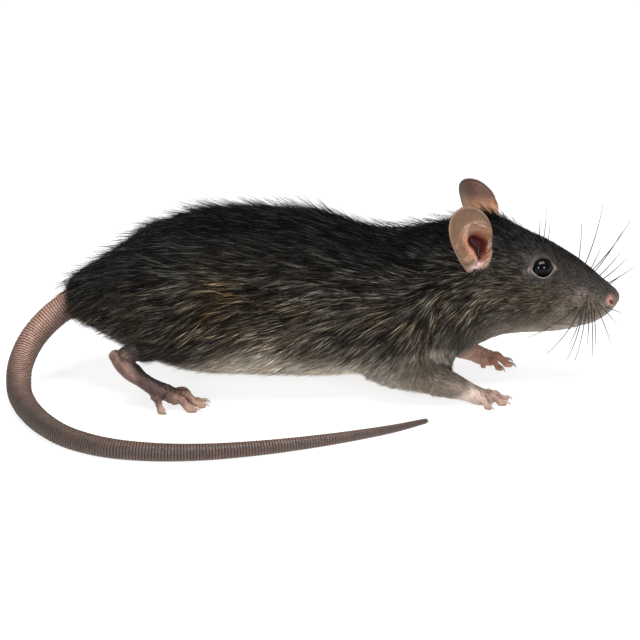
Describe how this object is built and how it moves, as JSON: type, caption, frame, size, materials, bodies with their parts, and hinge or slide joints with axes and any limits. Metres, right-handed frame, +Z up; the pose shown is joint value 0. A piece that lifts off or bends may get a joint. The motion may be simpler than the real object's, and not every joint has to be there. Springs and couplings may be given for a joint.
{
  "type": "still life-size model of a roof rat",
  "caption": "Life-size still model of a dark roof rat standing on all feet, with its long scaly tail laid in a curve round its right side.",
  "frame": {"origin": "on the floor, under the middle of the whole model's box", "axes": "+X towards the rat's nose, +Y towards its left side, +Z up"},
  "size_m": [0.2022, 0.1066, 0.0648],
  "materials": {
    "dark_fur": "short sleek fur, near black with brown flecks",
    "grey_fur": "short grey-brown fur",
    "bare_skin": "thin-haired pinkish skin",
    "ear_skin": "thin tan skin with a soft sheen",
    "tail_skin": "fine ringed scales",
    "nose_skin": "moist pink skin",
    "eye_gloss": "wet black gloss"
  },
  "bodies": {
    "root": {"torso": "dark_fur", "neck": "dark_fur", "head": "grey_fur", "jaw": "grey_fur", "whisker_pad_left": "grey_fur", "whisker_pad_right": "grey_fur", "nose": "nose_skin", "eye_left": "eye_gloss", "eye_right": "eye_gloss", "ear_left": "ear_skin", "ear_right": "ear_skin", "upper_arm_left": "dark_fur", "upper_arm_right": "dark_fur", "forearm_left": "grey_fur", "forearm_right": "grey_fur", "fore_paw_left": "bare_skin", "fore_paw_right": "bare_skin", "thigh_left": "dark_fur", "thigh_right": "dark_fur", "shank_left": "bare_skin", "shank_right": "bare_skin", "hind_foot_left": "bare_skin", "hind_foot_right": "bare_skin", "tail_1": "tail_skin", "tail_2": "tail_skin", "tail_3": "tail_skin", "tail_4": "tail_skin", "tail_5": "tail_skin", "tail_6": "tail_skin", "tail_7": "tail_skin"}
  },
  "joints": []
}
